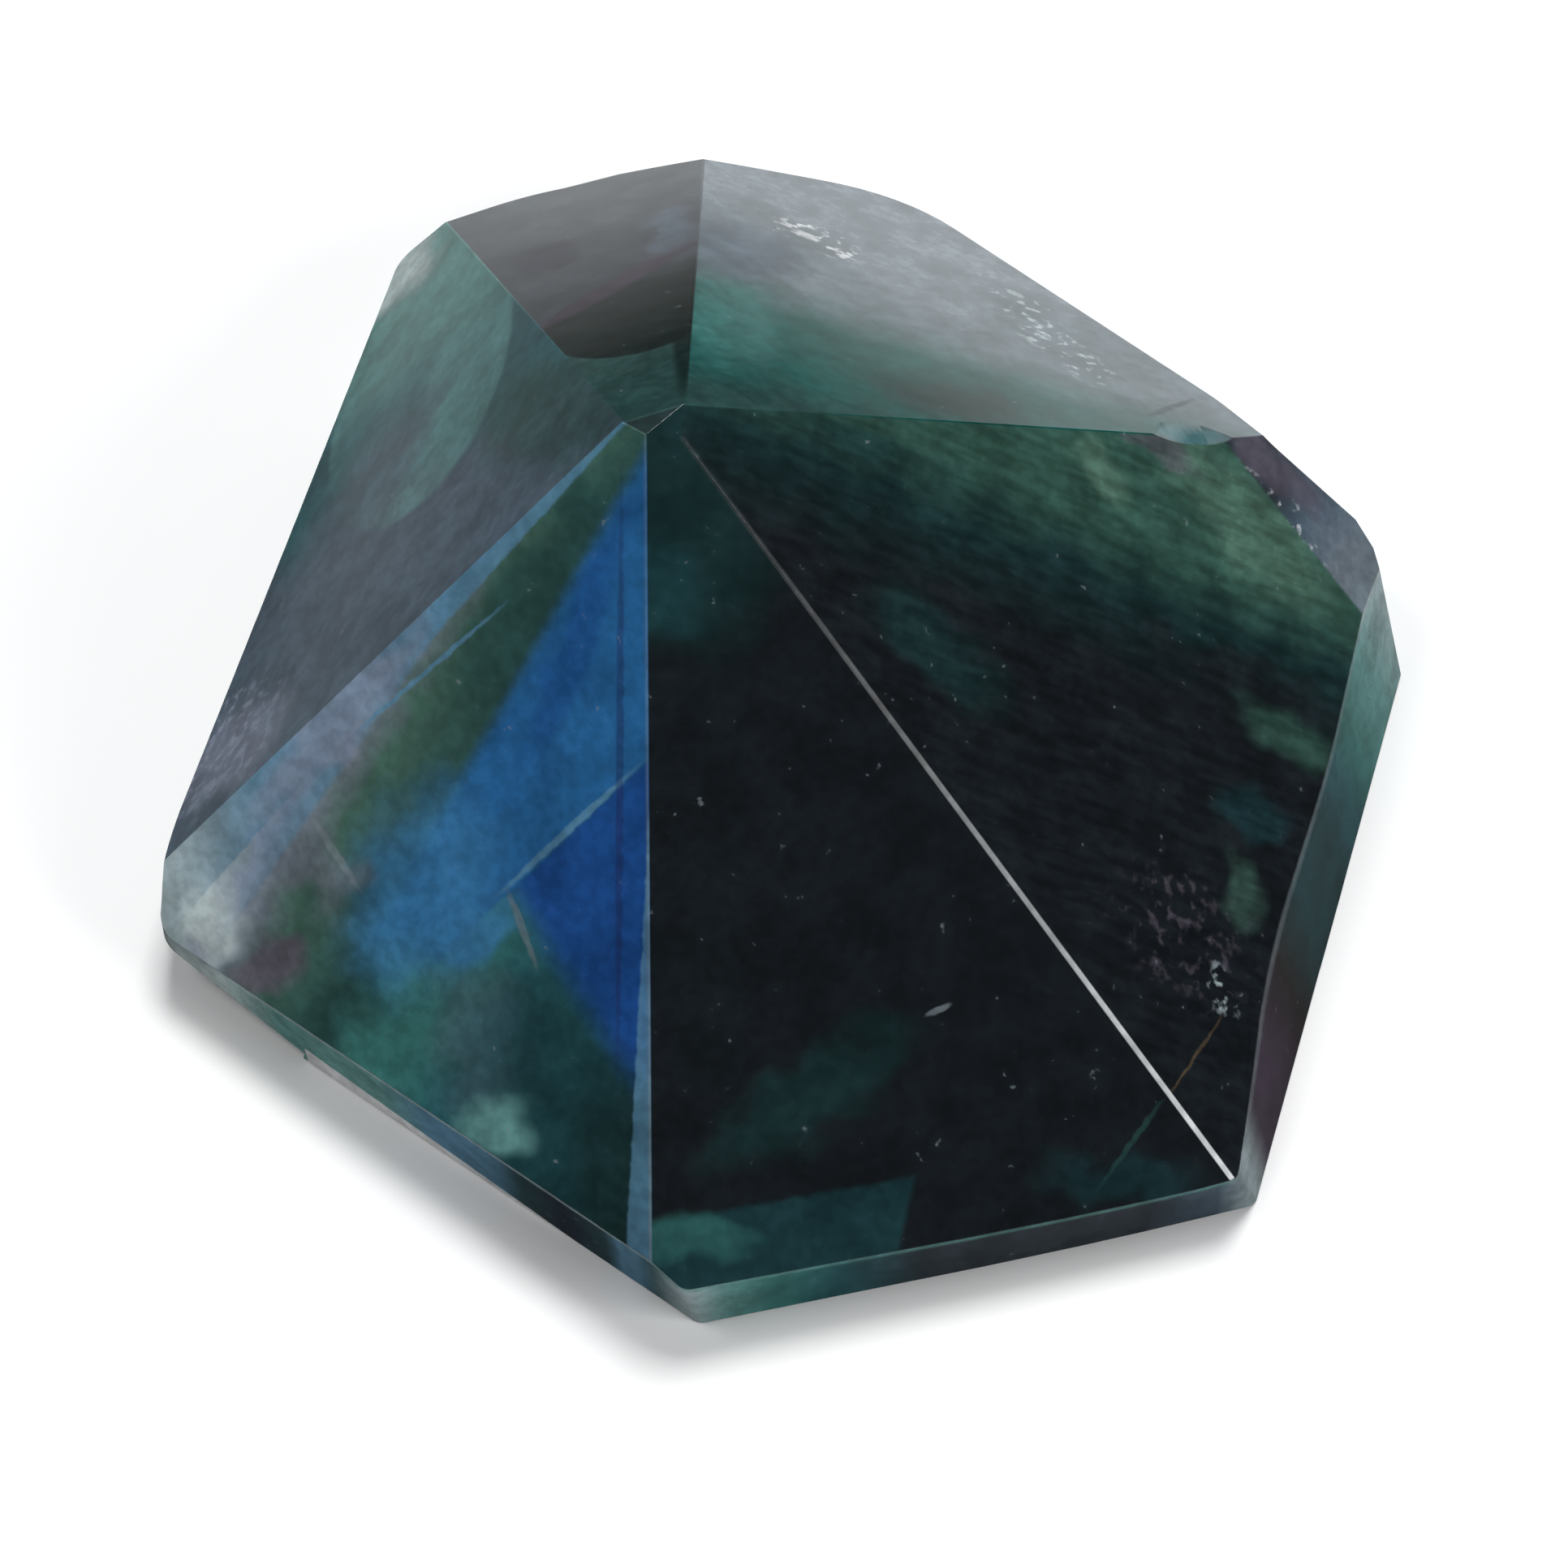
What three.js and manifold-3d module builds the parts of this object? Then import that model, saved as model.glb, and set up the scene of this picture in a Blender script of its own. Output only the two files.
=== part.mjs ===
// A fluorite freeform point: one piece of banded green and blue fluorite, sawn flat underneath and
// lapped by hand into six uneven crown flats that rise to a blunt point over a low girdle.
// Lengths are millimetres and angles degrees. +Z is up, the sawn base lies on z = 0 and -Y is the front.
import * as THREE from "three";
import { mergeVertices } from "three/addons/utils/BufferGeometryUtils.js";
import Module from "manifold-3d";

const wasm = await Module();
wasm.setup();

// The rough block before the crown is cut, ruled in rows and strips that are fine enough for its slightly
// twisted right wall.
const blockHeight = 41;
const wallRows = 8;
const wallStrip = 3;
const cornerSteps = 8;

// The corners of the block, anticlockwise from the front. foot is on the base, lean is how far the corner
// moves in X and Y for each millimetre of height, and round is the length its round takes from each wall.
const corners = [
  { name: "front", foot: [-5.7, -40.7], lean: [-0.16, -0.03], round: 0.5 },
  { name: "frontBow", foot: [17.6, -35.6], lean: [-0.2, -0.04], round: 8 },
  { name: "rightFront", foot: [28.6, -32.7], lean: [-0.34, -0.09], round: 0.5 },
  { name: "rightWaist", foot: [32.3, -20.1], lean: [-0.41, 0.12], round: 4 },
  { name: "rightFlat", foot: [36.4, -6.2], lean: [-0.31, 0.09], round: 4 },
  { name: "rightBack", foot: [41.5, 11.2], lean: [-0.38, -0.12], round: 0.3 },
  { name: "rightNick", foot: [33.6, 17.3], lean: [-0.22, -0.24], round: 0.8 },
  { name: "backNick", foot: [30.5, 20.9], lean: [-0.22, -0.24], round: 1.2 },
  { name: "back", foot: [9.1, 40.8], lean: [-0.22, -0.25], round: 5 },
  { name: "backBow", foot: [-6.5, 40.7], lean: [0, -0.25], round: 5 },
  { name: "leftBackBend", foot: [-20, 38.2], lean: [0.21, -0.18], round: 2.5 },
  { name: "leftBack", foot: [-27.3, 35.3], lean: [0.15, -0.21], round: 1 },
  { name: "left", foot: [-39.6, -11.4], lean: [0.06, 0], round: 3.4 },
  { name: "leftFront", foot: [-39.6, -16], lean: [0.02, -0.05], round: 1.2 },
];

// The flats lapped on the block. azimuth is the way each faces, from +X towards +Y, slope its steepness,
// and reach its distance from the middle of the base.
const flats = [
  { name: "front", azimuth: -75.7, slope: 41.4, reach: 29.07 },
  { name: "right", azimuth: -22.9, slope: 38.5, reach: 27.02 },
  { name: "backRight", azimuth: 60.7, slope: 38.3, reach: 29.05 },
  { name: "backLeft", azimuth: 112.7, slope: 37.1, reach: 32.96 },
  { name: "leftBack", azimuth: 163.5, slope: 51.5, reach: 31.55 },
  { name: "left", azimuth: -129.3, slope: 47.9, reach: 31.29 },
  { name: "shoulder", azimuth: -6.8, slope: 42, reach: 30.77 },
  { name: "tip", azimuth: 153.8, slope: 5.2, reach: 39.59 },
  { name: "tipFront", azimuth: -50.9, slope: 21, reach: 35.09 },
  { name: "rightSide", azimuth: 13, slope: 80.7, reach: 39.57 },
  { name: "rightBackEdge", azimuth: 30, slope: 74.9, reach: 38.29 },
];

// A shallow hollow where the wheel touched the back-right ridge, close to the shoulder. touch is its
// deepest point, which faces azimuth and slope, and the wheel's rim runs down the slope, turned by turn.
const nick = {
  touch: [25.1, 11.1, 19.2],
  azimuth: 45.6,
  slope: 33.4,
  turn: -22.6,
  radius: 15.6,
  width: 12,
};

// A shallow heel ground away under the left corner. It starts with a small step in the left wall and rises
// towards the corner, while it runs out to the base towards the middle.
const heel = {
  step: [-30.5, -22.7, 0.95],
  heading: -36.1,
  rise: 13,
  dip: 17,
  size: 24,
};

const fluorite = new THREE.MeshStandardMaterial({ color: 0x1c3a38, roughness: 0.08, metalness: 0 });

// A closed three.js geometry as a manifold-3d solid.
function solidOf(geometry) {
  const bare = geometry.clone();
  bare.deleteAttribute("normal");
  bare.deleteAttribute("uv");
  const merged = mergeVertices(bare, 1e-4);
  return new wasm.Manifold(
    new wasm.Mesh({
      numProp: 3,
      vertProperties: merged.attributes.position.array,
      triVerts: new Uint32Array(merged.index.array),
    }),
  );
}

// A manifold-3d solid as a flat-shaded three.js geometry.
function geometryOf(solid) {
  const mesh = solid.getMesh();
  const geometry = new THREE.BufferGeometry();
  geometry.setAttribute("position", new THREE.BufferAttribute(mesh.vertProperties, 3));
  geometry.setIndex(new THREE.BufferAttribute(mesh.triVerts, 1));
  const flat = geometry.toNonIndexed();
  flat.computeVertexNormals();
  return flat;
}

// The block's outline at one height: straight walls between the corners, with a round at each corner. The
// strips of a wall are counted on the base, so the outline has the same number of points at every height.
function outlineAt(height) {
  const at = corners.map(
    ({ foot, lean }) => new THREE.Vector2(foot[0] + lean[0] * height, foot[1] + lean[1] * height),
  );
  const points = [];
  corners.forEach((corner, i) => {
    const before = at[(i + corners.length - 1) % corners.length];
    const here = at[i];
    const after = at[(i + 1) % corners.length];
    const next = corners[(i + 1) % corners.length];
    const start = here.clone().add(before.clone().sub(here).setLength(corner.round));
    const end = here.clone().add(after.clone().sub(here).setLength(corner.round));
    points.push(...new THREE.QuadraticBezierCurve(start, here, end).getPoints(cornerSteps));

    const wallEnd = after.clone().add(here.clone().sub(after).setLength(next.round));
    const wallLength = Math.hypot(next.foot[0] - corner.foot[0], next.foot[1] - corner.foot[1]);
    const strips = Math.max(1, Math.round(wallLength / wallStrip));
    for (let k = 1; k < strips; k++) {
      points.push(end.clone().lerp(wallEnd, k / strips));
    }
  });
  return points;
}

// The rough block: its base outline extruded upwards, with each vertex moved towards the outline of the top.
function roughBlock() {
  const foot = outlineAt(0);
  const top = outlineAt(blockHeight);
  const geometry = new THREE.ExtrudeGeometry(new THREE.Shape(foot), {
    depth: blockHeight,
    steps: wallRows,
    bevelEnabled: false,
  });
  const position = geometry.attributes.position;
  const place = new THREE.Vector2();
  for (let i = 0; i < position.count; i++) {
    place.set(position.getX(i), position.getY(i));
    let nearest = 0;
    foot.forEach((point, k) => {
      if (point.distanceTo(place) < foot[nearest].distanceTo(place)) nearest = k;
    });
    place.lerp(top[nearest], position.getZ(i) / blockHeight);
    position.setXY(i, place.x, place.y);
  }
  return solidOf(geometry);
}

// Turns a geometry whose working face looks up so that the face looks along azimuth, as steep as slope.
function turnTo(geometry, azimuth, slope) {
  geometry.rotateY(THREE.MathUtils.degToRad(slope));
  geometry.rotateZ(THREE.MathUtils.degToRad(azimuth));
  return geometry;
}

// Everything outside one flat, as a large box whose near face lies on the flat.
function wasteBeyond(flat) {
  const size = 200;
  const waste = new THREE.BoxGeometry(size, size, size);
  waste.translate(0, 0, size / 2 + flat.reach);
  return solidOf(turnTo(waste, flat.azimuth, flat.slope));
}

// The wheel that left the nick, as a disc that touches the stone with its rim.
function nickWheel() {
  const wheel = new THREE.CylinderGeometry(nick.radius, nick.radius, nick.width, 180);
  wheel.translate(0, 0, nick.radius);
  wheel.rotateZ(THREE.MathUtils.degToRad(nick.turn));
  turnTo(wheel, nick.azimuth, nick.slope);
  wheel.translate(...nick.touch);
  return solidOf(wheel);
}

// The stone ground away at the heel, as a tilted box with its right end at the step.
function heelWaste() {
  const waste = new THREE.BoxGeometry(heel.size, 2 * heel.size, heel.size);
  waste.translate(-heel.size / 2, 0, -heel.size / 2);
  waste.rotateX(THREE.MathUtils.degToRad(-heel.dip));
  waste.rotateY(THREE.MathUtils.degToRad(heel.rise));
  waste.rotateZ(THREE.MathUtils.degToRad(heel.heading));
  waste.translate(...heel.step);
  return solidOf(waste);
}

let stone = roughBlock();
for (const flat of flats) stone = stone.subtract(wasteBeyond(flat));
stone = stone.subtract(nickWheel()).subtract(heelWaste());

// The middle of the stone's length and width comes over the origin.
const geometry = geometryOf(stone);
geometry.computeBoundingBox();
const middle = geometry.boundingBox.getCenter(new THREE.Vector3());
geometry.translate(-middle.x, -middle.y, 0);

const point = new THREE.Mesh(geometry, fluorite);
point.name = "fluorite_point";

const part = new THREE.Group();
part.add(point);

export default part;
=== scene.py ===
import math

import bpy
import numpy as np
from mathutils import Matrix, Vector

# A hand-lapped fluorite freeform. Metres throughout, +Z up, the stone's front towards -Y.

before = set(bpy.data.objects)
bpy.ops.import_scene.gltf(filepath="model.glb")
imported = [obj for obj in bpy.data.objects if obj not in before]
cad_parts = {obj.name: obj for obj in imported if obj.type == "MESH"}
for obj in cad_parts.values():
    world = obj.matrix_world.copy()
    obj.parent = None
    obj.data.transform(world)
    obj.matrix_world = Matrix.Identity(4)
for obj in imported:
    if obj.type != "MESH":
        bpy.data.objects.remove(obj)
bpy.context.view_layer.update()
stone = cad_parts["fluorite_point"]
mm = 0.001

print("stage: camera, floor and light")

camera = {
    "target": (-0.68 * mm, -2.67 * mm, 0),
    "elevation": 60,
    "distance": 337.8 * mm,
    "lens": 120,
    "sensorWidth": 36,
    "clip": (0.01, 50),
}

studio = {
    "floorSize": 4.0,
    "floorDrop": 0.1 * mm,
    "floorColour": (0.86, 0.86, 0.86),
    "floorRoughness": 0.9,
    "floorShine": 0.1,
    "shadowEdge": (44 * mm, 62 * mm),   # where the mirrored paper brightens round the stone
    "leftFade": (-80 * mm, 0),          # and where it darkens to the left and far behind
    "backFade": (68 * mm, 124 * mm),
    "shadowShade": 0.12,
    "farShade": 0.02,
    "mirroredShade": 0.85,
    "skyEdge": (0.3, 0.9),              # how far the sky's light turns from the back to the front
    "behind": (0.6, 0.62, 0.65),
    "front": (0.03, 0.033, 0.036),
    "aimHeight": 15 * mm,
}

# each softbox: the way it lies from the stone, how far, its width and height, and its power in watts
softboxes = {
    "backSoftbox": ((0.07, 0.46, 0.88), 1.2, (0.42, 0.42), 11.5),
    "leftSoftbox": ((-0.47, 0.02, 0.88), 1.2, (0.36, 0.36), 3.5),
    "ridgeSoftbox": ((0.725, -0.34, 0.6), 0.9, (0.36, 0.3), 2.5),
    "lowLeftFill": ((-0.57, -0.81, 0.14), 1.0, (0.5, 0.16), 5.0),
    "lowRightFill": ((0.95, -0.25, 0.16), 1.0, (0.3, 0.16), 3.0),
}


def aim(obj, target):
    # turns an object so that its -Z looks at the target
    toTarget = Vector(target) - obj.location
    obj.rotation_mode = "QUATERNION"
    obj.rotation_quaternion = toTarget.to_track_quat("-Z", "Y")


def makeCamera():
    data = bpy.data.cameras.new("camera")
    data.lens = camera["lens"]
    data.sensor_width = camera["sensorWidth"]
    data.clip_start, data.clip_end = camera["clip"]
    obj = bpy.data.objects.new("camera", data)
    lift = math.radians(camera["elevation"])
    back = Vector((0, -math.cos(lift), math.sin(lift)))
    obj.location = Vector(camera["target"]) + back * camera["distance"]
    aim(obj, camera["target"])
    bpy.context.scene.collection.objects.link(obj)
    bpy.context.scene.camera = obj


def makeSoftbox(name, direction, distance, size, power):
    data = bpy.data.lights.new(name, "AREA")
    data.shape = "RECTANGLE"
    data.size, data.size_y = size
    data.energy = power
    obj = bpy.data.objects.new(name, data)
    obj.location = Vector(direction).normalized() * distance
    aim(obj, (0, 0, studio["aimHeight"]))
    bpy.context.scene.collection.objects.link(obj)


def makeFloor():
    half = studio["floorSize"] / 2
    mesh = bpy.data.meshes.new("floor")
    z = -studio["floorDrop"]
    rim = [(-half, -half, z), (half, -half, z), (half, half, z), (-half, half, z)]
    mesh.from_pydata(rim, [], [(0, 1, 2, 3)])
    floor = bpy.data.objects.new("floor", mesh)
    bpy.context.scene.collection.objects.link(floor)
    paper = bpy.data.materials.new("paper")
    paper.use_nodes = True
    tree = paper.node_tree
    shader = tree.nodes["Principled BSDF"]
    # the camera sees even paper, and the stone mirrors paper that darkens under it, to its left and far
    # behind it
    place = tree.nodes.new("ShaderNodeTexCoord")
    split = tree.nodes.new("ShaderNodeSeparateXYZ")
    tree.links.new(place.outputs["Object"], split.inputs[0])
    away = tree.nodes.new("ShaderNodeVectorMath")
    away.operation = "LENGTH"
    tree.links.new(place.outputs["Object"], away.inputs[0])
    shares = []
    for measure, edge, low, high in (
        (away.outputs["Value"], "shadowEdge", studio["shadowShade"], studio["mirroredShade"]),
        (split.outputs["X"], "leftFade", studio["farShade"], 1),
        (split.outputs["Y"], "backFade", 1, studio["farShade"]),
    ):
        share = tree.nodes.new("ShaderNodeMapRange")
        share.interpolation_type = "SMOOTHSTEP"
        share.inputs["From Min"].default_value, share.inputs["From Max"].default_value = studio[edge]
        share.inputs["To Min"].default_value, share.inputs["To Max"].default_value = low, high
        tree.links.new(measure, share.inputs["Value"])
        shares.append(share.outputs["Result"])
    mirrored = shares[0]
    for share in shares[1:]:
        product = tree.nodes.new("ShaderNodeMath")
        product.operation = "MULTIPLY"
        tree.links.new(mirrored, product.inputs[0])
        tree.links.new(share, product.inputs[1])
        mirrored = product.outputs[0]
    path = tree.nodes.new("ShaderNodeLightPath")
    seen = tree.nodes.new("ShaderNodeMath")
    seen.operation = "MAXIMUM"
    tree.links.new(path.outputs["Is Camera Ray"], seen.inputs[0])
    tree.links.new(mirrored, seen.inputs[1])
    shade = tree.nodes.new("ShaderNodeVectorMath")
    shade.operation = "SCALE"
    shade.inputs[0].default_value = studio["floorColour"]
    tree.links.new(seen.outputs[0], shade.inputs["Scale"])
    tree.links.new(shade.outputs["Vector"], shader.inputs["Base Color"])
    shader.inputs["Roughness"].default_value = studio["floorRoughness"]
    shader.inputs["Specular IOR Level"].default_value = studio["floorShine"]
    mesh.materials.append(paper)


def makeWorld():
    # light sky behind the stone, dark on the camera's side, and plain white where the camera looks past
    # the floor
    world = bpy.data.worlds.new("studio")
    bpy.context.scene.world = world
    world.use_nodes = True
    tree = world.node_tree
    tree.nodes.clear()
    out = tree.nodes.new("ShaderNodeOutputWorld")
    direction = tree.nodes.new("ShaderNodeTexCoord")
    split = tree.nodes.new("ShaderNodeSeparateXYZ")
    tree.links.new(direction.outputs["Generated"], split.inputs[0])
    ramp = tree.nodes.new("ShaderNodeMapRange")
    ramp.interpolation_type = "SMOOTHSTEP"
    ramp.inputs["From Min"].default_value, ramp.inputs["From Max"].default_value = studio["skyEdge"]
    tree.links.new(split.outputs["Y"], ramp.inputs["Value"])
    mix = tree.nodes.new("ShaderNodeMix")
    mix.data_type = "RGBA"
    mix.inputs["A"].default_value = (*studio["front"], 1)
    mix.inputs["B"].default_value = (*studio["behind"], 1)
    tree.links.new(ramp.outputs["Result"], mix.inputs["Factor"])
    lit = tree.nodes.new("ShaderNodeBackground")
    tree.links.new(mix.outputs["Result"], lit.inputs["Color"])
    seen = tree.nodes.new("ShaderNodeBackground")
    seen.inputs["Color"].default_value = (1, 1, 1, 1)
    path = tree.nodes.new("ShaderNodeLightPath")
    choose = tree.nodes.new("ShaderNodeMixShader")
    tree.links.new(path.outputs["Is Camera Ray"], choose.inputs["Fac"])
    tree.links.new(lit.outputs[0], choose.inputs[1])
    tree.links.new(seen.outputs[0], choose.inputs[2])
    tree.links.new(choose.outputs[0], out.inputs["Surface"])


scene = bpy.context.scene
scene.view_settings.view_transform = "Standard"
scene.cycles.max_bounces = 2
scene.cycles.caustics_reflective = False
scene.cycles.caustics_refractive = False
makeCamera()
makeFloor()
makeWorld()
for name, settings in softboxes.items():
    makeSoftbox(name, *settings)

print("stage: worn ridges")

ridges = {
    "weld": 0.002 * mm,
    "flatTo": math.radians(0.6),        # faces that turn less than this are one flat
    "round": 0.4 * mm,
    "segments": 4,
    "sharpFrom": math.radians(12),      # ridges that turn less than this aren't rounded
    "evenness": 100,
}


def addShadeSmooth(obj):
    # the ridges' rounds are shaded smooth without touching the node's own mesh
    tree = bpy.data.node_groups.new("shadeSmooth", "GeometryNodeTree")
    tree.interface.new_socket("Geometry", in_out="INPUT", socket_type="NodeSocketGeometry")
    tree.interface.new_socket("Geometry", in_out="OUTPUT", socket_type="NodeSocketGeometry")
    start = tree.nodes.new("NodeGroupInput")
    smooth = tree.nodes.new("GeometryNodeSetShadeSmooth")
    end = tree.nodes.new("NodeGroupOutput")
    tree.links.new(start.outputs[0], smooth.inputs["Geometry"])
    tree.links.new(smooth.outputs["Geometry"], end.inputs[0])
    modifier = obj.modifiers.new("shadeSmooth", "NODES")
    modifier.node_group = tree


weld = stone.modifiers.new("weld", "WELD")
weld.merge_threshold = ridges["weld"]
flatten = stone.modifiers.new("wholeFlats", "DECIMATE")
flatten.decimate_type = "DISSOLVE"
flatten.angle_limit = ridges["flatTo"]
addShadeSmooth(stone)
rounds = stone.modifiers.new("wornRidges", "BEVEL")
rounds.width = ridges["round"]
rounds.segments = ridges["segments"]
rounds.limit_method = "ANGLE"
rounds.angle_limit = ridges["sharpFrom"]
evenShade = stone.modifiers.new("evenShade", "WEIGHTED_NORMAL")
evenShade.mode = "FACE_AREA"
evenShade.weight = ridges["evenness"]

print("stage: fluorite")

# the stone's own tones, from the darkest to the palest, as plain red, green and blue shares
tones = {
    "night": (0.012, 0.016, 0.02),
    "umber": (0.019, 0.015, 0.015),
    "deepPine": (0.002, 0.013, 0.011),
    "navy": (0.005, 0.013, 0.035),
    "bottle": (0.013, 0.038, 0.04),
    "lagoon": (0.016, 0.065, 0.075),
    "pine": (0.003, 0.11, 0.095),
    "smoke": (0.045, 0.06, 0.075),
    "plum": (0.055, 0.035, 0.065),
    "moss": (0.032, 0.095, 0.09),
    "forest": (0.042, 0.11, 0.085),
    "teal": (0.03, 0.13, 0.15),
    "ink": (0.02, 0.03, 0.13),
    "ultramarine": (0.015, 0.085, 0.335),
    "cobalt": (0.027, 0.16, 0.42),
    "azure": (0.06, 0.25, 0.5),
    "fern": (0.08, 0.18, 0.14),
    "sage": (0.13, 0.25, 0.19),
    "seaGreen": (0.06, 0.24, 0.22),
    "slate": (0.1, 0.15, 0.2),
    "mauve": (0.16, 0.13, 0.18),
    "rose": (0.18, 0.22, 0.26),
    "gold": (0.12, 0.085, 0.05),
    "steel": (0.19, 0.25, 0.28),
    "sky": (0.13, 0.31, 0.47),
    "seaFoam": (0.18, 0.42, 0.4),
    "pearl": (0.28, 0.34, 0.38),
    "lilac": (0.36, 0.41, 0.54),
    "ice": (0.48, 0.6, 0.63),
    "milk": (0.68, 0.8, 0.8),
    "frost": (0.95, 0.98, 1),
}

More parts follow.
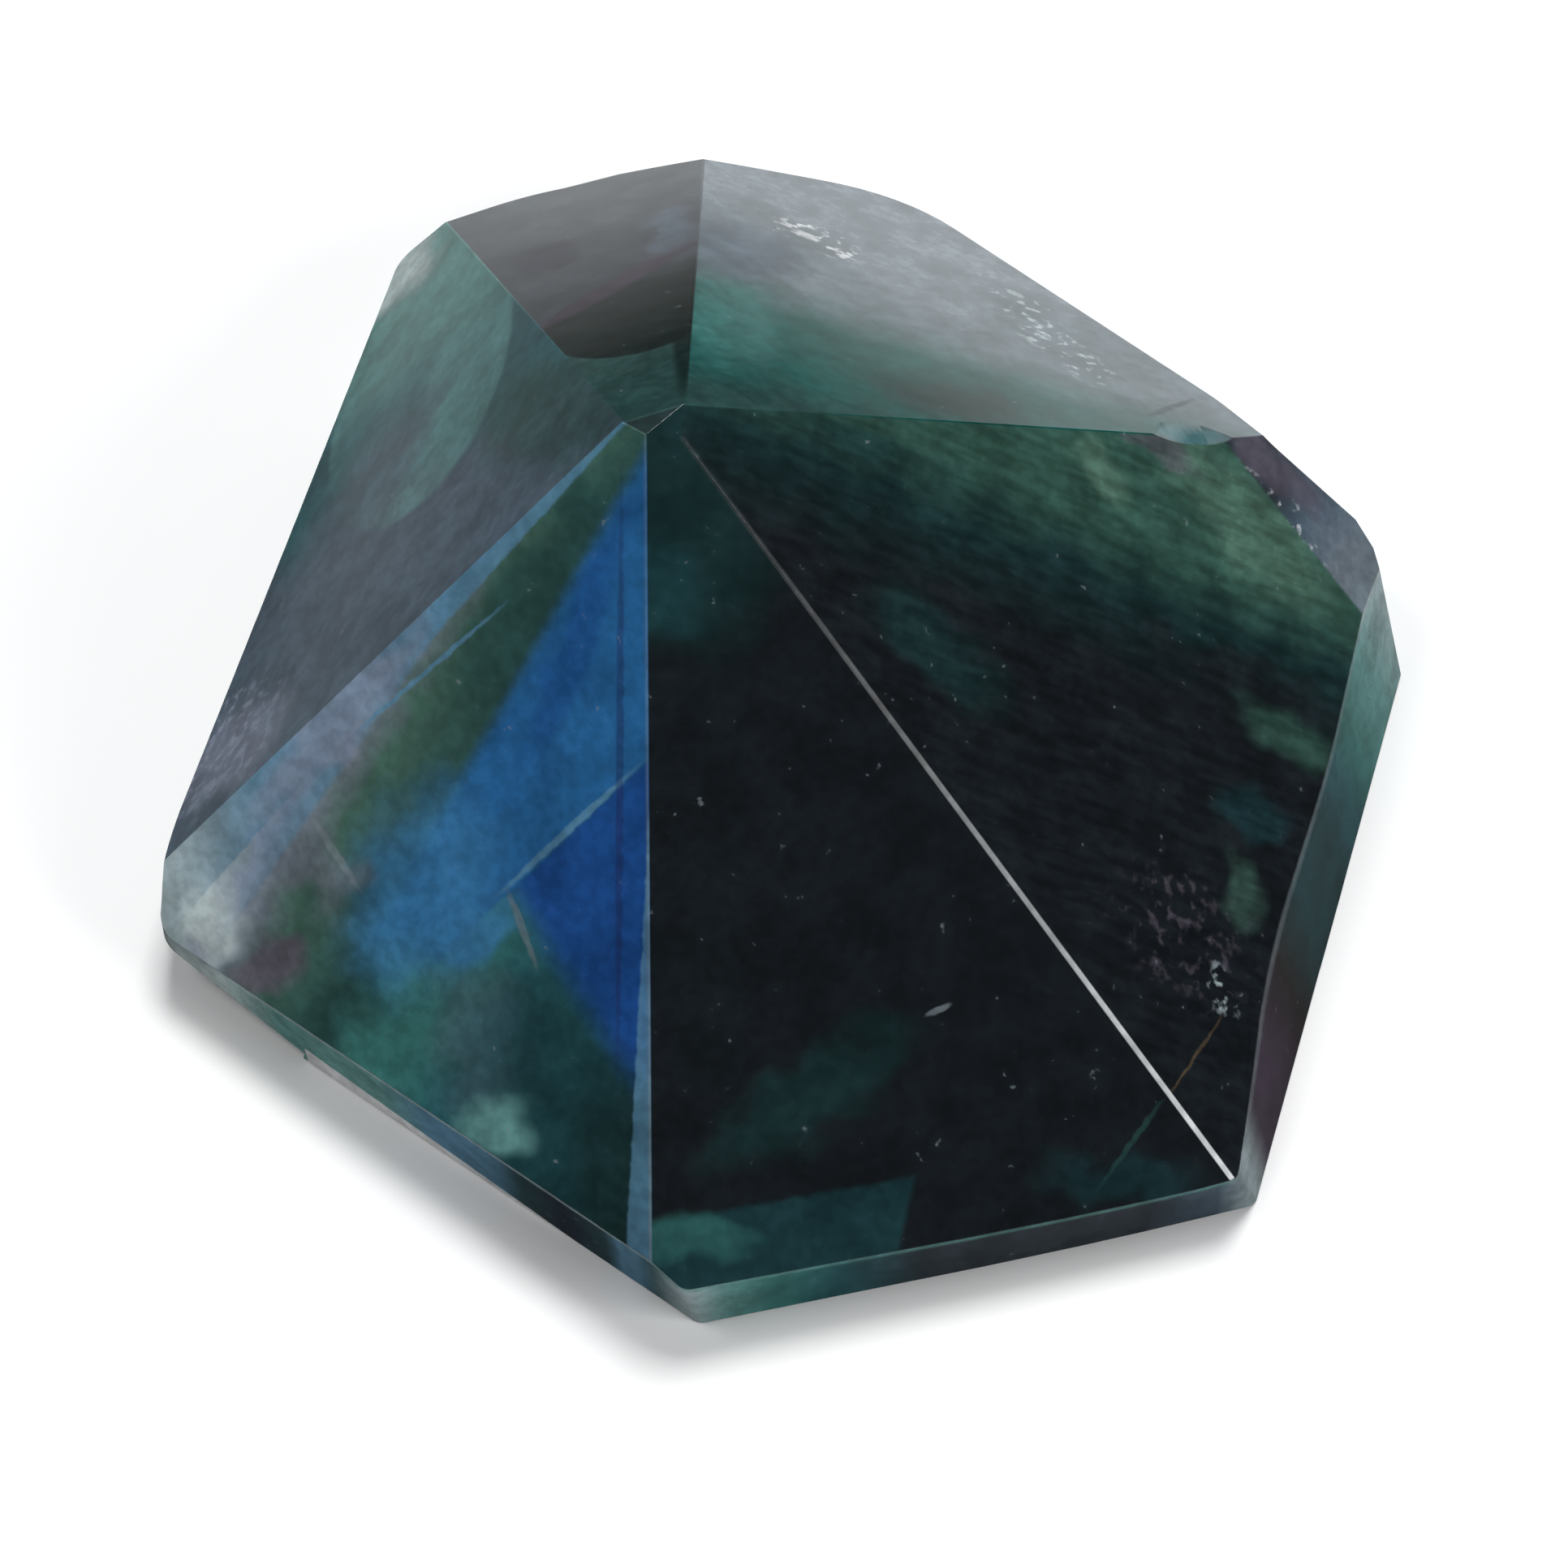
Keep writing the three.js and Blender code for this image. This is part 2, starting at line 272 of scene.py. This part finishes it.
# every flat: the way it faces and its slope in degrees, the tone of the painted highlight on the edge under
# it and how strong that is, its ground colour in bands along a heading, and its marks in millimetres, the
# first ones lowest. Each mark starts with its kind and tone and ends in its strength. A spot has a centre,
# half its length, its length over its width and its turn. A disc is a spot with a clean edge, and flecks fill
# a spot with the brightest grain. A line has its two ends and its width. A zone has straight sides, each with
# a point on it, the heading that it opens to and how soft it is
flats = {
    "front": {
        "lies": (-75.7, 41.4),
        "rim": ("seaFoam", 0.6),
        "bands": (-80, [(0, "bottle"), (9, "night"), (40, "night")]),
        "marks": [
            ("spot", "bottle", (-6.5, -6.5), 4.5, 1, 0, 0.9),
            ("spot", "lagoon", (-7.4, -8.3), 2, 1, 0, 0.6),
            ("spot", "bottle", (1, -31), 6.5, 4, 30, 0.9),
            ("zone", "lagoon", [((0, -36), -78, 0.4), ((6.8, -36), 165, 0.5)], 0.7),
            ("spot", "seaGreen", (-6.5, -38.4), 4, 4, 0, 0.45),
            ("spot", "lagoon", (20, -33.6), 4.5, 4, 0, 0.5),
            ("line", "moss", (22.2, -29.8), (18.6, -34), 0.3, 0.5),
            ("line", "pearl", (7.9, -26.8), (9.3, -26.2), 0.3, 0.6),
        ],
    },
    "right": {
        "lies": (-22.9, 38.5),
        "rim": ("pearl", 0.35),
        "bands": (90, [(-40, "night"), (-5, "night"), (0, "bottle"), (4, "forest"), (9, "forest")]),
        "marks": [
            ("spot", "lagoon", (3.5, 2.2), 3, 4, 0, 0.4),
            ("spot", "bottle", (8.5, -8), 4, 2, 150, 0.8),
            ("spot", "sage", (19, 6.6), 1.8, 2, 150, 0.6),
            ("spot", "sage", (28.4, 7.6), 5.8, 2, 150, 0.5),
            ("spot", "mauve", (23, 9.4), 2.2, 4, 0, 0.5),
            ("spot", "night", (28, -2.6), 6, 4, 0, 0.8),
            ("spot", "forest", (31, -5), 3, 2, 0, 0.7),
            ("spot", "lagoon", (28.4, -10.6), 2.6, 2, 0, 0.5),
            ("spot", "fern", (27.6, -15.6), 2, 2, 90, 0.45),
            ("flecks", "mauve", (24, -19.5), 3.8, 1, 30, 0.3),
            ("line", "gold", (26.2, -23.6), (22.6, -29.6), 0.18, 0.6),
            ("flecks", "ice", (26.2, -22), 1.6, 2, 90, 0.8),
        ],
    },
    "backRight": {
        "lies": (60.7, 38.3),
        "rim": ("ice", 0.3),
        # the pale bands towards the far rim are partly the stone's own tone and partly a painted reflection
        # of the bright surroundings
        "bands": (78, [(2, "moss"), (8, "pine"), (15, "pine"), (20.5, "steel"), (26, "steel"),
                       (31, "pearl")]),
        "marks": [
            ("spot", "deepPine", (10, 8.8), 5, 2, 0, 0.6),
            ("spot", "seaGreen", (-4, 13), 6, 2, 90, 0.8),
            ("spot", "slate", (-3.5, 24), 4, 1, 0, 0.7),
            ("spot", "pearl", (8, 24.5), 5, 2, 150, 0.6),
            ("flecks", "frost", (1.5, 28.4), 3.2, 2, 150, 1),
            ("flecks", "milk", (16, 22.4), 6.5, 4, 120, 0.7),
            ("spot", "frost", (0.8, 28.6), 0.8, 2, 150, 0.8),
            ("line", "lagoon", (21.8, 12.2), (25.4, 16.6), 0.5, 0.8),
        ],
    },
    "backLeft": {
        "lies": (112.7, 37.1),
        "rim": ("milk", 0.7),
        # the pale bands towards the far rim are partly the stone's own tone and partly a painted reflection
        # of the bright surroundings
        "bands": (95, [(2, "moss"), (14, "moss"), (17, "deepPine"), (20, "deepPine"), (22.5, "smoke"),
                       (28.5, "smoke"), (30, "pearl"), (33, "ice"), (38, "milk")]),
        "marks": [
            ("zone", "smoke", [((-14.8, 15), 135, 1.6)], 0.9),
            ("disc", "deepPine", (-10.2, 13.6), 5.3, 1, 0, 0.95),
            # a dark line along the ridge with the back-right flat, painted shade
            ("line", "deepPine", (-6.9, 18), (-6.5, 2), 1.4, 0.8),
            ("line", "plum", (-16, 14.2), (-6.2, 24.2), 1.6, 0.8),
            ("spot", "navy", (-16, 25.5), 2.2, 1, 0, 0.8),
            ("spot", "slate", (-8, 26.5), 3, 2, 90, 0.8),
        ],
    },
    "leftBack": {
        "lies": (163.5, 51.5),
        "rim": ("ice", 0.7),
        "bands": (-95, [(-34, "seaFoam"), (-24, "seaGreen"), (-16, "teal"), (-8, "teal"), (-4, "slate"),
                        (9, "slate")]),
        "marks": [
            ("disc", "seaFoam", (-24, 17.5), 12.5, 2, 90, 0.45),
            ("spot", "teal", (-28, 14), 7, 2, 60, 0.7),
            ("spot", "slate", (-27.5, 9.5), 7, 2, 60, 0.7),
            ("spot", "moss", (-14.5, 5), 7, 2, 120, 0.8),
            ("spot", "milk", (-26.5, 32), 2.4, 1, 0, 0.8),
            ("flecks", "lilac", (-37, -5), 4.4, 1, 0, 0.7),
            ("spot", "lilac", (-35.5, -6.5), 3.6, 1, 0, 0.6),
        ],
    },
    "left": {
        "lies": (-129.3, 47.9),
        "rim": ("ice", 0.7),
        "bands": (133, [(-20, "bottle"), (-14, "lagoon"), (-7, "teal"), (-2, "seaGreen"), (3, "moss"),
                        (8, "fern"), (9.8, "steel"), (12, "lilac"), (14, "ice"), (16, "ice")]),
        "marks": [
            ("spot", "moss", (-15, -7.3), 6, 2, 30, 0.8),
            ("spot", "slate", (-19, -27), 5, 2, 120, 0.4),
            ("spot", "lagoon", (-14, -31), 6, 2, 120, 0.9),
            ("zone", "cobalt", [((-10.3, -4.2), -44, 1.4), ((-9.5, -16.8), 114, 0.3), ((-25, -20), 59, 2.5)],
             0.95),
            ("spot", "azure", (-22.5, -18.6), 4.4, 1, 0, 0.7),
            ("spot", "azure", (-19, -21.6), 2.4, 2, 0, 0.8),
            ("spot", "ultramarine", (-13, -10), 5, 4, 60, 0.5),
            ("zone", "ultramarine", [((-9.5, -16.8), -66, 0.3), ((-16, -21.7), 35, 2)], 0.95),
            ("line", "sky", (-9.7, -16.7), (-17.5, -20), 0.42, 0.8),
            ("line", "steel", (-17.2, -20.3), (-15.6, -24), 0.4, 0.6),
            ("spot", "rose", (-29.3, -16.2), 3.2, 2, 150, 0.8),
            ("line", "pearl", (-29.7, -13.3), (-26.7, -17.5), 0.4, 0.5),
            ("spot", "mauve", (-32.4, -19.6), 2.2, 2, 0, 0.8),
            ("spot", "milk", (-36.3, -16.8), 2, 1, 0, 0.8),
            ("spot", "seaFoam", (-17.8, -31.2), 2.6, 2, 150, 0.8),
            ("zone", "sky", [((-9.9, -0.9), 118, 0.25), ((-36, -12), 0, 8)], 0.85),
            ("zone", "sky", [((-21.3, -6.9), 127, 0.5), ((-33, -12), 0, 8)], 0.65),
            ("spot", "lilac", (-28, -9.6), 6, 4, 30, 0.65),
            ("line", "sky", (-17.8, -7.1), (-26.3, -10.1), 0.3, 0.8),
            ("line", "ink", (-10.2, -4.5), (-10.6, -30), 0.45, 0.5),
            ("zone", "bottle", [((-10, -31), -80, 5), ((-13, -30), 0, 2)], 0.8),
            ("zone", "sky", [((-9.55, -30.7), -4.4, 0.2)], 0.65),
        ],
    },
    "shoulder": {
        "lies": (-6.8, 42),
        "rim": ("ice", 0.5),
        "bands": (-30, [(17, "smoke"), (21, "smoke"), (24, "slate"), (27, "rose"), (33, "steel")]),
        "marks": [
            ("spot", "mauve", (31, 11.6), 3.4, 2, 150, 0.45),
            ("flecks", "frost", (28.5, 9.6), 5.5, 4, 150, 0.7),
        ],
    },
}

# the side walls: the tone at each turn round the stone in degrees, which the back's bands take over, and the
# heel's bright foot, a wedge with its start, heading, length and height
walls = {
    "bands": [
        (-180, "steel"), (-160, "ice"), (-153, "milk"), (-146, "seaFoam"), (-134, "seaFoam"),
        (-128, "sky"), (-121, "sky"), (-117, "lagoon"), (-112, "navy"), (-107, "lagoon"), (-105.6, "sky"),
        (-103.6, "sky"), (-102.8, "teal"), (-99, "ice"), (-96, "seaFoam"), (-92, "seaGreen"),
        (-86, "teal"), (-78, "smoke"), (-58, "smoke"), (-52, "slate"), (-49, "ice"), (-45, "plum"),
        (-39, "plum"), (-32, "umber"), (-24, "lagoon"), (-16, "lagoon"), (-9, "teal"), (-4, "seaGreen"),
        (4, "seaFoam"), (12, "ice"), (24, "seaFoam"), (34, "slate"),
    ],
    "backBands": [
        (24, "seaFoam"), (34, "steel"), (46, "seaGreen"), (58, "slate"), (70, "moss"), (80, "steel"),
        (92, "rose"), (104, "plum"), (112, "teal"), (120, "pearl"), (128, "seaFoam"), (136, "ice"),
        (146, "teal"), (158, "slate"), (168, "seaGreen"), (180, "steel"),
    ],
    "backFrom": (24, 34),
    "foot": ((-30.5, -22.7), -37, 21, 1.9),
}

# the places where the wheel left bare stone: the tip, by its height, and the nick, as a spot
tipPatch = {"tone": "bottle", "height": (37, 37.6)}
nickPatch = {"tone": "teal", "spot": ((25, 11.4), 3.2, 1, 0, 0.75)}

# the painted highlights on the rounded ridges: the two flats, the width of the pale painted highlight, its
# tone, and how strong it is at the tip and at the rim
ridgeHighlights = [
    ("left", "front", 0.16, "steel", 0.5, 0.8),
    ("front", "right", 0.33, "frost", 0.15, 1),
]

finish = {
    "slowNoise": (0.3, 1),     # each noise: how fine it is, in turns per millimetre, and its detail
    "fineNoise": (1.3, 2),
    "streakNoise": (0.35, 2),
    "bumpNoise": (0.5, 0),
    "wander": 1.7,             # how far the soft edges of the marks wander, in millimetres
    "ragged": 0.14,
    "grain": (0.88, 1.13),     # the darkest and brightest share of the fine grain
    "cloud": (0.85, 1.18),
    "streaks": {"right": (0, 4, 0.78, 1.25)},   # their heading, length over width and shares
    "flecks": (0.52, 0.68),    # how much of the fine grain turns into pale flecks
    "specks": (0.71, 0.8),
    "speckStrength": 0.5,
    "grainSpan": (0.3, 0.7),   # the part of each noise that its full range is stretched from
    "streakSpan": (0.32, 0.68),
    "roughSpan": (0.35, 0.7),
    "softSpot": 0.45,          # how much of its own size each kind of mark fades over
    "softLine": 0.35,
    "softDisc": 0.03,
    "thinSpot": 0.5,           # spots narrower than this don't wander
    "flatEdge": (0.1, 0.04),   # how far under a flat its colour ends, and the painted highlight on the rim below it
    "rimHighlightEdge": (0.5, 0.25),
    "footEdge": (0.05, 0.2),   # how sharp the bright foot's top and its end are
    "highlightEdge": (0.03, 0.02),  # and the painted ridge highlights' two edges, and the heights that they grow between
    "highlightHeights": (36, 7),
    "roughness": (0.035, 0.085),
    "bump": 0.04,
    "bumpDepth": 0.1 * mm,
    "refraction": 1.434,
    "transmission": 0.5,
    "absorption": (0.12, 0.5, 0.5),
    "density": 90,
}

fluorite = bpy.data.materials.new("polishedFluorite")
fluorite.use_nodes = True
tree = fluorite.node_tree
shader = tree.nodes["Principled BSDF"]


def link(value, socket):
    # a plain number, a colour, or what another node gives
    if isinstance(value, bpy.types.NodeSocket):
        tree.links.new(value, socket)
    else:
        socket.default_value = value


def mathStep(operation, *values):
    step = tree.nodes.new("ShaderNodeMath")
    step.operation = operation
    for value, socket in zip(values, step.inputs):
        link(value, socket)
    return step.outputs[0]


def vectorStep(operation, *values, output="Vector"):
    step = tree.nodes.new("ShaderNodeVectorMath")
    step.operation = operation
    for value, socket in zip(values, step.inputs):
        link(value, socket)
    return step.outputs[output]


def dot(place, along):
    return vectorStep("DOT_PRODUCT", place, along, output="Value")


def ramp(value, low, high, least=0, most=1, curve="SMOOTHSTEP"):
    step = tree.nodes.new("ShaderNodeMapRange")
    step.interpolation_type = curve
    numbers = {"Value": value, "From Min": low, "From Max": high, "To Min": least, "To Max": most}
    for name, number in numbers.items():
        link(number, step.inputs[name])
    return step.outputs["Result"]


def blend(below, above, mask):
    step = tree.nodes.new("ShaderNodeMix")
    step.data_type = "RGBA"
    link(below, step.inputs["A"])
    link(above, step.inputs["B"])
    link(mask, step.inputs["Factor"])
    return step.outputs["Result"]


def toneOf(name):
    return (*tones[name], 1)


def noise(place, scale, detail):
    cloudy = tree.nodes.new("ShaderNodeTexNoise")
    link(place, cloudy.inputs["Vector"])
    link(scale, cloudy.inputs["Scale"])
    link(detail, cloudy.inputs["Detail"])
    return cloudy


def bandColour(measure, stops):
    # a ramp of tones over a measured length or angle
    first, last = stops[0][0], stops[-1][0]
    step = tree.nodes.new("ShaderNodeValToRGB")
    link(ramp(measure, first, last, curve="LINEAR"), step.inputs["Fac"])
    elements = step.color_ramp.elements
    elements[1].position = 1
    elements[1].color = toneOf(stops[-1][1])
    elements[0].color = toneOf(stops[0][1])
    for at, name in stops[1:-1]:
        elements.new((at - first) / (last - first)).color = toneOf(name)
    return step.outputs["Color"]


def frameOf(angle, aspect):
    # how much x and y give along the first axis, and y along the second, of a plan in which an ellipse
    # with that turn and length over width is a circle
    turn = math.radians(angle)
    along = math.hypot(math.cos(turn), aspect * math.sin(turn))
    slant = math.cos(turn) * math.sin(turn) * (1 - aspect ** 2) / along
    return along, slant, aspect / along


sharedPlaces = {}


def northOf(place):
    # y alone, along the first axis, for the slant
    if place.node.name not in sharedPlaces:
        apart = tree.nodes.new("ShaderNodeSeparateXYZ")
        link(place, apart.inputs[0])
        north = tree.nodes.new("ShaderNodeCombineXYZ")
        link(apart.outputs["Y"], north.inputs["X"])
        sharedPlaces[place.node.name] = north.outputs[0]
    return sharedPlaces[place.node.name]


def stretched(place, angle, aspect):
    # the place in the frame of an ellipse; each is made once
    key = (place.node.name, angle, aspect)
    if key not in sharedPlaces:
        along, slant, up = frameOf(angle, aspect)
        sharedPlaces[key] = vectorStep("MULTIPLY", place, (along, up, 0))
        if angle % 90 and aspect != 1:
            sharedPlaces[key] = vectorStep("MULTIPLY_ADD", northOf(place), (slant, 0, 0), sharedPlaces[key])
    return sharedPlaces[key]


def spotMask(place, centre, length, aspect, angle, strength, soft=finish["softSpot"]):
    # an ellipse: the distance from its centre, in its own frame
    along, slant, up = frameOf(angle, aspect)
    middle = (along * centre[0] + slant * centre[1], up * centre[1], 0)
    away = vectorStep("DISTANCE", stretched(place, angle, aspect), middle, output="Value")
    return ramp(away, length * (1 + soft), length * (1 - soft), 0, strength)


def sideMask(place, through, heading, soft, strength):
    # everything beyond a straight line, in the way of its heading
    turn = math.radians(heading)
    along = (math.cos(turn), math.sin(turn), 0)
    middle = along[0] * through[0] + along[1] * through[1]
    return ramp(dot(place, along), middle - soft / 2, middle + soft / 2, 0, strength)


def lineMask(place, start, end, width, strength):
    # a thin ellipse from end to end
    run, rise = end[0] - start[0], end[1] - start[1]
    middle = ((start[0] + end[0]) / 2, (start[1] + end[1]) / 2)
    length = math.hypot(run, rise)
    angle = math.degrees(math.atan2(rise, run))
    return spotMask(place, middle, length / 2, length / width, angle, strength, finish["softLine"])


def zoneMask(place, sides, strength):
    # everything beyond all of the straight sides
    masks = [sideMask(place, *side, strength) for side in sides]
    mask = masks[0]
    for other in masks[1:]:
        mask = mathStep("MINIMUM", mask, other)
    return mask


def markMask(kind, details, strength):
    # a large spot wanders with the slow noise, and thin marks only have ragged edges
    if kind == "spot":
        centre, length, aspect, angle = details
        edge = wavy if length / aspect > finish["thinSpot"] else ragged
        return spotMask(edge, centre, length, aspect, angle, strength)
    if kind == "flecks":
        return mathStep("MULTIPLY", spotMask(wavy, *details, strength), flecks)
    if kind == "disc":
        return spotMask(ragged, *details, strength, finish["softDisc"])
    if kind == "line":
        return lineMask(ragged, *details, strength)
    return zoneMask(ragged, *details, strength)


# each flat's plane: the way it faces, and how far out the solid reaches that way
corners = np.empty(len(stone.data.vertices) * 3)
stone.data.vertices.foreach_get("co", corners)
corners = corners.reshape(-1, 3) / mm
planes = {}
for name, flat in flats.items():
    around, slope = (math.radians(angle) for angle in flat["lies"])
    level = math.sin(slope)
    facing = np.array([level * math.cos(around), level * math.sin(around), math.cos(slope)])
    planes[name] = (facing, float((corners @ facing).max()))

ownPlace = tree.nodes.new("ShaderNodeTexCoord")
place = vectorStep("SCALE", ownPlace.outputs["Object"])
place.node.inputs["Scale"].default_value = 1 / mm
slow = noise(place, *finish["slowNoise"])
fine = noise(place, *finish["fineNoise"])
flecks = ramp(fine.outputs["Fac"], *finish["flecks"])
ragged = vectorStep("MULTIPLY_ADD", fine.outputs["Color"], (finish["ragged"] * 2,) * 3, place)
ragged = vectorStep("ADD", ragged, (-finish["ragged"],) * 3)
wavy = vectorStep("MULTIPLY_ADD", slow.outputs["Color"], (finish["wander"] * 2,) * 3, ragged)
wavy = vectorStep("ADD", wavy, (-finish["wander"],) * 3)

# the walls: tones round the stone, and a bright foot that thins out along the lower left
split = tree.nodes.new("ShaderNodeSeparateXYZ")
link(ragged, split.inputs[0])
around = mathStep("ARCTAN2", split.outputs["Y"], split.outputs["X"])
around = mathStep("MULTIPLY", around, 180 / math.pi)
seenSide = bandColour(around, walls["bands"])
backSide = bandColour(around, walls["backBands"])
colour = blend(seenSide, backSide, ramp(around, *walls["backFrom"]))
footStart, footHeading, footLength, footHeight = walls["foot"]
turn = math.radians(footHeading)
along = (math.cos(turn) * footHeight / footLength, math.sin(turn) * footHeight / footLength, 1)
footLine = dot(place, along)
start = along[0] * footStart[0] + along[1] * footStart[1]
topEdge, endEdge = finish["footEdge"]
foot = ramp(footLine, start + footHeight + topEdge, start + footHeight - topEdge)
foot = mathStep("MULTIPLY", foot, sideMask(place, footStart, footHeading, endEdge, 1))
colour = blend(colour, toneOf("frost"), foot)

# the painted highlights along the rims under the flats come first, and then the flats, each with its ground
# and its marks
rimHighlightLow, rimHighlightHigh = finish["rimHighlightEdge"]
flatLow, flatHigh = finish["flatEdge"]
depths = {}
for name, flat in flats.items():
    facing, reach = planes[name]
    depths[name] = dot(place, tuple(facing))
    # a pale painted highlight along the top edge of the wall under each flat
    rim, strength = flat["rim"]
    colour = blend(colour, toneOf(rim), ramp(depths[name], reach - rimHighlightLow, reach - rimHighlightHigh, 0, strength))
colour = blend(colour, toneOf(tipPatch["tone"]), ramp(split.outputs["Z"], *tipPatch["height"]))
colour = blend(colour, toneOf(nickPatch["tone"]), spotMask(place, *nickPatch["spot"]))
for name, flat in flats.items():
    reach = planes[name][1]
    heading, stops = flat["bands"]
    turn = math.radians(heading)
    ground = bandColour(dot(wavy, (math.cos(turn), math.sin(turn), 0)), stops)
    for mark in flat["marks"]:
        ground = blend(ground, toneOf(mark[1]), markMask(mark[0], mark[2:-1], mark[-1]))
    if name in finish["streaks"]:
        heading, aspect, darkest, palest = finish["streaks"][name]
        streak = noise(stretched(place, heading, aspect), *finish["streakNoise"]).outputs["Fac"]
        ground = vectorStep("SCALE", ground)
        link(ramp(streak, *finish["streakSpan"], darkest, palest), ground.node.inputs["Scale"])
    colour = blend(colour, ground, ramp(depths[name], reach - flatLow, reach - flatHigh))

# the painted highlights run where both flats' planes are near, and grow stronger towards the rim
highlightOut, highlightIn = finish["highlightEdge"]
for first, second, width, tone, atTip, atRim in ridgeHighlights:
    (facingA, reachA), (facingB, reachB) = planes[first], planes[second]
    bend = math.sqrt(1 - float(facingA @ facingB) ** 2)
    belowA = mathStep("SUBTRACT", depths[first], reachA)
    belowB = mathStep("SUBTRACT", depths[second], reachB)
    below = mathStep("MINIMUM", belowA, belowB)
    edge = -width / 2 * bend
    strength = ramp(split.outputs["Z"], *finish["highlightHeights"], atTip, atRim, "LINEAR")
    strength = mathStep("MULTIPLY", strength, strength)
    # the pale painted highlight along the ridge, brighter towards the rim
    line = mathStep("MULTIPLY", ramp(below, edge - highlightOut, edge + highlightIn), strength)
    colour = blend(colour, toneOf(tone), line)

# fine grain and slow clouds in the colour, and a few pale specks
grain = ramp(fine.outputs["Fac"], *finish["grainSpan"], *finish["grain"])
cloud = ramp(slow.outputs["Fac"], *finish["grainSpan"], *finish["cloud"])
colour = vectorStep("SCALE", colour)
link(mathStep("MULTIPLY", grain, cloud), colour.node.inputs["Scale"])
speck = ramp(fine.outputs["Fac"], *finish["specks"], 0, finish["speckStrength"])
colour = blend(colour, toneOf("pearl"), speck)
link(colour, shader.inputs["Base Color"])

rough = ramp(fine.outputs["Fac"], *finish["roughSpan"], *finish["roughness"])
link(rough, shader.inputs["Roughness"])
relief = tree.nodes.new("ShaderNodeBump")
relief.inputs["Strength"].default_value = finish["bump"]
relief.inputs["Distance"].default_value = finish["bumpDepth"]
link(noise(place, *finish["bumpNoise"]).outputs["Fac"], relief.inputs["Height"])
link(relief.outputs["Normal"], shader.inputs["Normal"])

shader.inputs["IOR"].default_value = finish["refraction"]
shader.inputs["Transmission Weight"].default_value = finish["transmission"]
inside = tree.nodes.new("ShaderNodeVolumeAbsorption")
inside.inputs["Color"].default_value = (*finish["absorption"], 1)
inside.inputs["Density"].default_value = finish["density"]
link(inside.outputs[0], tree.nodes["Material Output"].inputs["Volume"])
stone.data.materials.clear()
stone.data.materials.append(fluorite)
